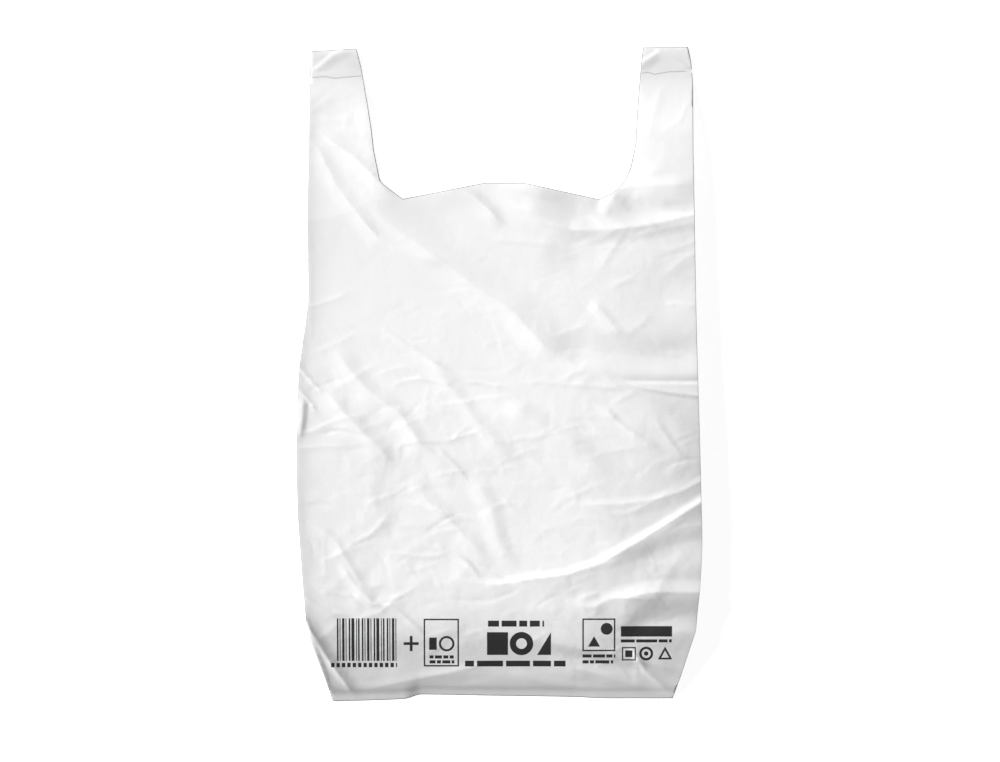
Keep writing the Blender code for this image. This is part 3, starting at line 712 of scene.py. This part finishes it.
def clear_of(points, lines, gap):
    """Which points keep a gap from lines."""
    keep = np.ones(len(points), bool)
    for line in lines:
        starts, ends = segments(line)
        for a, b in zip(starts, ends):
            low, high = np.minimum(a, b) - gap, np.maximum(a, b) + gap
            near = np.nonzero(keep & np.all((points > low) & (points < high), axis=1))[0]
            if not len(near):
                continue
            along_line = b - a
            length = max(float(along_line @ along_line), SHORTEST)
            t = np.clip(((points[near] - a) @ along_line) / length, 0, 1)
            distance = np.hypot(*(points[near] - a - t[:, None] * along_line).T)
            keep[near[distance < gap]] = False
    return keep


def tiled(outline, spacing, lines=(), shapes=()):
    """Triangles that fill a flat outline. lines and shapes become edges of them.

    Returns points, triangles, and for each triangle the set of shapes that it lies in.
    """
    ring = np.array(outline)
    low, high = ring.min(axis=0), ring.max(axis=0)
    rows = np.arange(low[1], high[1], spacing * ROW_STEP)
    grid = []
    for n, y in enumerate(rows):
        xs = np.arange(low[0] + (n % 2) * spacing / 2, high[0], spacing)
        grid.append(np.column_stack([xs, np.full(len(xs), y)]))
    grid = np.vstack(grid)
    grid += random.uniform(-STRAY, STRAY, grid.shape) * spacing
    grid = grid[inside(grid, outline)]
    closed = [[*one, one[0]] for one in [outline, *shapes]]
    grid = grid[clear_of(grid, closed + list(lines), CLEAR * spacing)]
    points = [tuple(p) for p in outline]
    faces = [list(range(len(points)))]
    edges = []
    for shape in shapes:
        faces.append(list(range(len(points), len(points) + len(shape))))
        points += [tuple(p) for p in shape]
    for line in lines:
        first = len(points)
        points += [tuple(p) for p in line]
        edges += [(first + n, first + n + 1) for n in range(len(line) - 1)]
    points += [tuple(p) for p in grid]
    result = delaunay_2d_cdt([Vector(p) for p in points], edges, faces, 1, SAME_POINT, True)
    flat = np.array([(v.x, v.y) for v in result[0]])
    kept = [n for n, sources in enumerate(result[5]) if 0 in sources]
    return flat, [tuple(result[2][n]) for n in kept], [set(result[5][n]) - {0} for n in kept]


def resampled(points, step):
    """The same line with a point at least every step."""
    made = [points[0]]
    for a, b in zip(points, points[1:]):
        count = max(1, int(math.ceil(math.dist(a, b) / step)))
        for n in range(1, count + 1):
            made.append((a[0] + (b[0] - a[0]) * n / count, a[1] + (b[1] - a[1]) * n / count))
    return made


LINE_SHARP = 0.55  # creases from this sharpness, small ones also from this rise, are mesh edges
LINE_RISE = 0.00018
LINE_GAP = 0.0012  # how far such lines stay off the panel's outline


def crease_lines(outline):
    """The crests of the sharp creases, as mesh edges, where they lie well inside the panel."""
    kept = []
    for points, _, _, _, sharp in HAND + [one for one in SMALL if abs(one[1]) > LINE_RISE]:
        if sharp < LINE_SHARP:
            continue
        line = np.array(resampled(points, SPACING))
        good = inside(line, outline) & clear_of(line, [[*outline, outline[0]]], LINE_GAP)
        for fine, run in groupby(zip(good, line), key=lambda pair: pair[0]):
            run = [tuple(point) for _, point in run]
            if fine and len(run) > 2:
                kept.append(run)
    return kept


# The fused lines across the handles, and the lower ends of their four layers, in pixels of the photograph
WELDS_PX = (
    ((312.6, 77.6), (325.5, 76.7), (335, 78.3), (361.0, 75.9)),
    ((641.6, 73.2), (648.7, 72.4), (654.4, 74.4), (668.8, 71.9), (687.4, 71.3)),
)
LEFT_BACKING_PX = ((311, 221), (336, 216.6), (356, 210), (372, 200))
RIGHT_BACKING_PX = ((628, 196), (645, 206), (668, 212), (697, 216))
WELD_HALF_PX = 0.55
# Painted light and shade for the layers behind the film: (pixels above those ends, share) in the handles,
# lighter where their layers stack and greyer in a band above, which stand farther than HANDLE_FOOT from the
# middle, and (pixels below the mouth, share), greyer as painted shade under the mouth, up to MOUTH_HALF from
# it
HANDLE_PAINTED_LIGHT_AND_SHADE = ((0, 1.04), (60, 1.02), (80, 1.0), (110, 0.92), (140, 0.93), (150, 1.0), (170, 1.05))
MOUTH_PAINTED_SHADE = ((0, 0.91), (15, 0.92), (50, 1.0))
HANDLE_FOOT = 0.080
MOUTH_HALF = 0.120
MOUTH_FADE = 0.02
PAINTED_STEP_BLUR_PX = 2.0

# The print, in pixels of the photograph: blocks and simple shapes in place of words and marks.
# Rows of blocks: left, right, top, bottom, widths of the blocks, gaps between them
BLOCK_ROWS = (
    (337.0, 397.6, 618, 661, (1.6, 0.9, 2.4, 0.9, 1.6, 3.0, 0.9, 1.6), (1.1, 1.6, 1.1, 2.2)),
    (331, 397, 663, 667.4, (3.4,), (2.0,)),
    (429.5, 454.3, 655.4, 658.6, (4, 7, 5), (1.4,)),
    (429.5, 454.3, 660.4, 663.6, (6, 4, 8), (1.4,)),
    (488, 544, 620.4, 626.4, (11, 15, 8, 10), (2.6,)),
    (465, 565.6, 660.8, 666.6, (9, 26, 24, 18, 13), (3.0,)),
    (582.6, 615.3, 654.4, 657.6, (9, 12, 6), (1.4,)),
    (582.6, 613.3, 660.4, 663.6, (6, 4, 14), (1.4,)),
    (620.8, 671.7, 639.3, 642.4, (14, 21, 9), (1.4,)),
)
NARROWEST_BLOCK = 0.8
BLOCKS = (
    (429.2, 637.4, 436.8, 649.8), (487, 632, 508, 655), (620.8, 626, 672.1, 636.5),
    (625.2, 650.4, 632.4, 657.2),
)
# Frames: left, top, right, bottom, width of the line
FRAMES = (
    (423.7, 618.5, 459, 666.7, 1.5), (582.3, 618.2, 615.3, 651.2, 1.5), (621.9, 647, 635.9, 660.6, 1.3),
)
FRAME_GAP = 0.02  # keeps a frame's four sides apart
PLUS = (411.2, 643.5, 7.6, 7.7, 1.4)  # middle, half width, half height, half thickness
# Discs: middle, and radii inwards, which are printed and left bare by turns
DISCS = (
    (446.7, 643.6, (7.8, 5.6)), (521.5, 643.5, (11.8, 5.4)), (606.6, 628.6, (6.0,)),
    (646.2, 653.6, (7.0, 4.6, 2.2)),
)
DISC_CORNERS = 28
TRIANGLES = (
    ("ink", ((537, 655), (551, 655), (551, 632))),
    ("ink", ((588, 646.5), (600, 646.5), (594, 636))),
    ("ink", ((658, 659.6), (672.4, 659.6), (665.1, 646.6))),
    ("bare", ((661.2, 657.8), (669.2, 657.8), (665.1, 650.6))),
)


def box_px(x0, y0, x1, y1):
    return [(x0, y1), (x1, y1), (x1, y0), (x0, y0)]


def disc_px(x, y, radius):
    turns = [2 * math.pi * n / DISC_CORNERS for n in range(DISC_CORNERS)]
    return [(x + radius * math.cos(turn), y - radius * math.sin(turn)) for turn in turns]


def frame_px(x0, y0, x1, y1, line):
    low, high = y0 + line + FRAME_GAP, y1 - line - FRAME_GAP
    return [
        box_px(x0, y0, x1, y0 + line), box_px(x0, y1 - line, x1, y1),
        box_px(x0, low, x0 + line, high), box_px(x1 - line, low, x1, high),
    ]


def plus_px(x, y, wide, high, half):
    corner = [(wide, half), (half, half), (half, high)]
    made = corner + [(-a, b) for a, b in corner[::-1]]
    made += [(-a, -b) for a, b in made]
    return [(x + a, y - b) for a, b in made]


def row_px(x0, x1, y0, y1, widths, gaps):
    """A row of blocks of different widths, in place of a bar code or a line of words."""
    made, x, n = [], x0, 0
    while x < x1:
        width = min(widths[n % len(widths)], x1 - x)
        if width > NARROWEST_BLOCK:
            made.append(box_px(x, y0, x + width, y1))
        x += width + gaps[n % len(gaps)]
        n += 1
    return made


def print_shapes():
    """The print's shapes, each with ink or bare, in metres and placed as the camera sees them."""
    inked = [plus_px(*PLUS)] + [box_px(*block) for block in BLOCKS]
    for row in BLOCK_ROWS:
        inked += row_px(*row)
    for one in FRAMES:
        inked += frame_px(*one)
    made = [("ink", outline) for outline in inked]
    for x, y, radii in DISCS:
        for n, radius in enumerate(radii):
            made.append(("bare" if n % 2 else "ink", disc_px(x, y, radius)))
    made += TRIANGLES
    return [(kind, [under_camera(*p, PRINT_LIFT) for p in outline]) for kind, outline in made]


SHARPEST = 0.6  # keeps the points of sharp corners near them when a ring is drawn in


def inset(outline, width):
    """The same ring, drawn in by a width."""
    ring = np.array(outline)
    ways = np.roll(ring, -1, axis=0) - ring
    ways /= np.hypot(*ways.T)[:, None]
    inward = np.column_stack([-ways[:, 1], ways[:, 0]])
    both = inward + np.roll(inward, 1, axis=0)
    both /= np.maximum((both**2).sum(axis=1), SHARPEST)[:, None]
    return [tuple(p) for p in ring + 2 * width * both]


def weld_shapes():
    """The fused lines across the handles, coloured grey as painted shade along each weld."""
    made = []
    for line in WELDS_PX:
        under = [(x, y + WELD_HALF_PX) for x, y in line]
        over = [(x, y - WELD_HALF_PX) for x, y in line]
        made.append(("weld", [place(*p) for p in under + over[::-1]]))
    return made


def painted_layer_light_and_shade(x, y):
    """Painted light and shade for the layers behind the film: a lighter colour in the handles' feet, a greyer
    one at the mouth.
    """
    px, py = x / PIXEL + MIDDLE_PX[0], MIDDLE_PX[1] - y / PIXEL
    left = np.interp(px, *zip(*LEFT_BACKING_PX))
    right = np.interp(px, *zip(*RIGHT_BACKING_PX))
    above = np.where(x < 0, left, right) - py
    handle = np.interp(above, *zip(*HANDLE_PAINTED_LIGHT_AND_SHADE))
    handle = np.where(np.abs(x) > HANDLE_FOOT, handle, 1.0)
    cut_x, depth = zip(*CUT)
    below = (LENGTH / 2 - np.interp(x, cut_x, depth) - y) / PIXEL
    mouth = np.interp(below, *zip(*MOUTH_PAINTED_SHADE))
    mouth = 1 + (mouth - 1) * smooth((MOUTH_HALF - np.abs(x)) / MOUTH_FADE)
    return (1 + (handle - 1) * smooth(above / PAINTED_STEP_BLUR_PX + 0.5)) * mouth


# The film's mesh: slots of its materials, its layers' places in the UV layer, and its joins
FILM_SLOT, INK_SLOT, EDGE_SHADE_SLOT, WELD_SHADE_SLOT = range(4)
UV_SIZE = 1.36
UV_FRONT = (0.19, 0.29)
UV_BACK = (0.55, 0.29)
UV_GUSSETS = (0.93, 0.29)
UV_GUSSET_STEP = 0.09
UV_SIDE = 0.12
SAME_PLACE = 0.00002
SHARP_FROM = math.radians(60)


class Layers:
    """The film's layers, collected for one mesh."""

    def __init__(self):
        self.vertices, self.uvs, self.polygons, self.slots = [], [], [], []

    def add(self, flat, heights, triangles, turned, shift, slots=None):
        first = len(self.vertices)
        self.vertices.extend((float(x), float(y), float(z)) for (x, y), z in zip(flat, heights))
        self.uvs.extend(((x + shift[0]) / UV_SIZE, (y + shift[1]) / UV_SIZE) for x, y in flat)
        for triangle in triangles:
            ids = [first + i for i in triangle]
            self.polygons.append(ids[::-1] if turned else ids)
        self.slots.extend(slots or [FILM_SLOT] * len(triangles))

    def mesh(self, name):
        made = bpy.data.meshes.new(name)
        made.from_pydata(self.vertices, [], self.polygons)
        made.update()
        corner_vertex = np.zeros(len(made.loops), np.int32)
        made.loops.foreach_get("vertex_index", corner_vertex)
        uvs = np.array(self.uvs)[corner_vertex].astype(np.float32)
        made.uv_layers.new(name="OFBake").data.foreach_set("uv", uvs.ravel())
        spots = np.array(self.vertices)
        # painted light and shade for the layers behind the film, kept as a point attribute
        white = painted_layer_light_and_shade(spots[:, 0], spots[:, 1]).astype(np.float32)
        made.attributes.new("painted_layer_light_and_shade", "FLOAT", "POINT").data.foreach_set("value", white)
        made.polygons.foreach_set("material_index", self.slots)
        made.polygons.foreach_set("use_smooth", [True] * len(made.polygons))
        return made


def slot_of(kinds):
    """The material slot of a triangle of the front, from the kinds of the shapes that it lies in."""
    if kinds.count("ink") > kinds.count("bare"):  # the dot in the small ring is ink over bare over ink
        return INK_SLOT
    # the welds' slot is grey, painted shade along the fused lines
    if "weld" in kinds:
        return WELD_SHADE_SLOT
    # the band outside the panel's inset ring takes the edge slot, whose dark grey is painted shade
    return FILM_SLOT if "panel" in kinds else EDGE_SHADE_SLOT


def add_front(layers, outline):
    # Triangles outside the inset panel ring form the edge band, painted dark grey as shade along the outline
    shapes = [("panel", inset(outline, EDGE_LINE))] + weld_shapes() + print_shapes()
    rings = [resampled([*shape, shape[0]], SPACING)[:-1] for _, shape in shapes]
    flat, triangles, within = tiled(outline, SPACING, crease_lines(outline), rings)
    slots = [slot_of([shapes[i - 1][0] for i in here]) for here in within]
    layers.add(flat, front_z(*flat.T), triangles, False, UV_FRONT, slots)


def add_back(layers, outline):
    flat, triangles, _ = tiled(outline, BACK_SPACING)
    layers.add(flat, back_z(*flat.T), triangles, True, UV_BACK)


def add_gussets(layers):
    for side in (-1, 1):
        outline = gusset_outline(side)
        for upper_layer in (True, False):
            flat, triangles, _ = tiled(outline, GUSSET_SPACING)
            steps = 2 * (side > 0) + upper_layer
            shift = (UV_GUSSETS[0] + UV_GUSSET_STEP * steps - side * UV_SIDE, UV_GUSSETS[1])
            layers.add(flat, gusset_z(*flat.T, side, upper_layer), triangles, upper_layer, shift)


def build_film():
    layers = Layers()
    outline = panel_outline()
    add_front(layers, outline)
    add_back(layers, outline)
    add_gussets(layers)
    made = linked("bag_film", layers.mesh("bag_film"))
    weld(made.data)
    made.data.set_sharp_from_angle(angle=SHARP_FROM)
    return made


def weld(mesh):
    """Joins the layers at their folds."""
    made = bmesh.new()
    made.from_mesh(mesh)
    border = [v for v in made.verts if v.is_boundary]
    bmesh.ops.remove_doubles(made, verts=border, dist=SAME_PLACE)
    made.to_mesh(mesh)
    made.free()


# Materials
FILM_SHADE = 0.965
INK_SHADE = 0.75
FILM_ROUGHNESS = (0.34, 0.52)
FILM_IOR = 1.5
FILM_SPECULAR = 0.45
TRANSLUCENCE = 0.22


def feed(tree, made, inputs):
    """Sets a node's inputs, each to a value or from another node's output."""
    for name, value in inputs.items():
        if isinstance(value, bpy.types.NodeSocket):
            tree.links.new(value, made.inputs[name])
        else:
            made.inputs[name].default_value = value


def node(tree, kind, inputs, **settings):
    made = tree.nodes.new(kind)
    for name, value in settings.items():
        setattr(made, name, value)
    feed(tree, made, inputs)
    return made


def new_material(name):
    material = bpy.data.materials.new(name)
    material.use_nodes = True
    return material, material.node_tree, material.node_tree.nodes["Principled BSDF"]


def noise(tree, vector, scale, detail, roughness=0.5):
    inputs = {"Vector": vector, "Scale": scale, "Detail": detail, "Roughness": roughness}
    return node(tree, "ShaderNodeTexNoise", inputs).outputs["Fac"]


def film_tint(tree, cloud, color, shade, painted_layer_lit):
    """The colour: darker by a shade in the cloudy parts and, where asked, times the painted light and shade
    of the layers behind.
    """
    ends = {"A": (*(c * shade for c in color), 1.0), "B": (*color, 1.0), "Factor": cloud}
    tint = node(tree, "ShaderNodeMix", ends, data_type="RGBA").outputs["Result"]
    if not painted_layer_lit:
        return tint
    # the painted light and shade of the layers behind, which multiplies the colour
    behind = node(tree, "ShaderNodeAttribute", {}, attribute_name="painted_layer_light_and_shade").outputs["Fac"]
    ends = {"A": tint, "B": behind, "Factor": 1.0}
    return node(tree, "ShaderNodeMix", ends, data_type="RGBA", blend_type="MULTIPLY").outputs["Result"]


def wrinkled(tree, coords):
    """The normal of film with fine wrinkles, longer one way, and a still finer grain."""
    ways = {"Vector": coords, "Scale": (1.0, 0.7, 1.0), "Rotation": (0.0, 0.0, 0.5)}
    stretched = node(tree, "ShaderNodeMapping", ways).outputs["Vector"]
    cells = noise(tree, stretched, scale=95.0, detail=5.0, roughness=0.55)
    grain = noise(tree, coords, scale=420.0, detail=2.0)
    coarse = {"Height": cells, "Strength": 0.17, "Distance": 0.0012}
    coarse = node(tree, "ShaderNodeBump", coarse).outputs["Normal"]
    fine = {"Height": grain, "Strength": 0.12, "Distance": 0.0002, "Normal": coarse}
    return node(tree, "ShaderNodeBump", fine).outputs["Normal"]


def film_material(name, color, ink=False, painted_layer_lit=False):
    material, tree, shader = new_material(name)
    coords = node(tree, "ShaderNodeTexCoord", {}).outputs["Object"]
    cloud = noise(tree, coords, scale=26.0, detail=4.0)
    tint = film_tint(tree, cloud, color, INK_SHADE if ink else FILM_SHADE, painted_layer_lit)
    low, high = FILM_ROUGHNESS
    rough = node(tree, "ShaderNodeMapRange", {"Value": cloud, "To Min": low, "To Max": high})
    normal = wrinkled(tree, coords)
    feed(tree, shader, {
        "Base Color": tint, "Roughness": rough.outputs["Result"], "Normal": normal,
        "IOR": FILM_IOR, "Specular IOR Level": FILM_SPECULAR,
    })
    if not ink:
        behind = node(tree, "ShaderNodeBsdfTranslucent", {"Color": tint, "Normal": normal})
        parts = {0: TRANSLUCENCE, 1: shader.outputs["BSDF"], 2: behind.outputs["BSDF"]}
        mixed = node(tree, "ShaderNodeMixShader", parts).outputs["Shader"]
        feed(tree, tree.nodes["Material Output"], {"Surface": mixed})
    return material


film = build_film()
# The white film's colour is multiplied by the painted light and shade of the layers behind it
film.data.materials.append(film_material("white_film", (0.90, 0.90, 0.90), painted_layer_lit=True))
film.data.materials.append(film_material("black_ink", (0.030, 0.030, 0.032), ink=True))
# The film's edge: dark grey, painted shade along the outline where the film turns down
film.data.materials.append(film_material("film_edge_painted_shade", (0.20, 0.20, 0.20)))
# The welds: grey, painted shade along the fused lines across the handles
film.data.materials.append(film_material("fused_line_painted_shade", (0.58, 0.58, 0.58)))
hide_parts("carrier_bag")
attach(film, "root")


# Floor, light and camera
FLOOR_HALF = 6.0
FLOOR_DROP = 0.0004
FLOOR_WHITE = (0.85, 0.85, 0.85, 1.0)
FLOOR_ROUGHNESS = 0.9
FLOOR_GLOW = 0.86  # what the camera and reflections see besides, which makes the ground look white
LAMP_DISTANCE = 3
SENSOR = 36.0
FARTHEST_SEEN = 50


def floor_material():
    material, tree, shader = new_material("pale_floor")
    feed(tree, shader, {"Base Color": FLOOR_WHITE, "Roughness": FLOOR_ROUGHNESS})
    rays = node(tree, "ShaderNodeLightPath", {}).outputs
    seen = {0: rays["Is Camera Ray"], 1: rays["Is Glossy Ray"]}
    seen = node(tree, "ShaderNodeMath", seen, operation="MAXIMUM").outputs["Value"]
    strength = node(tree, "ShaderNodeMath", {0: seen, 1: FLOOR_GLOW}, operation="MULTIPLY").outputs["Value"]
    glow = node(tree, "ShaderNodeEmission", {"Color": (1, 1, 1, 1), "Strength": strength})
    parts = {0: shader.outputs["BSDF"], 1: glow.outputs["Emission"]}
    total = node(tree, "ShaderNodeAddShader", parts)
    feed(tree, tree.nodes["Material Output"], {"Surface": total.outputs["Shader"]})
    return material


def floor():
    mesh = bpy.data.meshes.new("floor")
    corners = [(x * FLOOR_HALF, y * FLOOR_HALF, 0) for x, y in ((-1, -1), (1, -1), (1, 1), (-1, 1))]
    mesh.from_pydata(corners, [], [(0, 1, 2, 3)])
    mesh.materials.append(floor_material())
    made = linked("floor", mesh)
    made.location.z = -FLOOR_DROP


def lamp(name, strength, azimuth, elevation, spread):
    data = bpy.data.lights.new(name, "SUN")
    data.energy = strength
    data.angle = math.radians(spread)
    a, e = math.radians(azimuth), math.radians(elevation)
    toward = Vector((math.cos(e) * math.cos(a), math.cos(e) * math.sin(a), math.sin(e)))
    made = linked(name, data)
    made.location = toward * LAMP_DISTANCE
    made.rotation_euler = (-toward).to_track_quat("-Z", "Y").to_euler()


def camera():
    data = bpy.data.cameras.new("camera")
    data.sensor_width = SENSOR
    data.lens = SENSOR * CAMERA_HEIGHT / (IMAGE[0] * PIXEL)
    data.clip_end = FARTHEST_SEEN
    made = linked("camera", data)
    made.location = (*place(IMAGE[0] / 2, IMAGE[1] / 2), CAMERA_HEIGHT)
    bpy.context.scene.camera = made


def sky(strength):
    world = bpy.data.worlds.new("world")
    world.use_nodes = True
    background = world.node_tree.nodes["Background"]
    background.inputs["Color"].default_value = (1, 1, 1, 1)
    background.inputs["Strength"].default_value = strength
    bpy.context.scene.world = world


floor()
lamp("key", strength=6.85, azimuth=155, elevation=30, spread=22)
sky(0.13)
camera()
bpy.context.scene.view_settings.view_transform = "Standard"
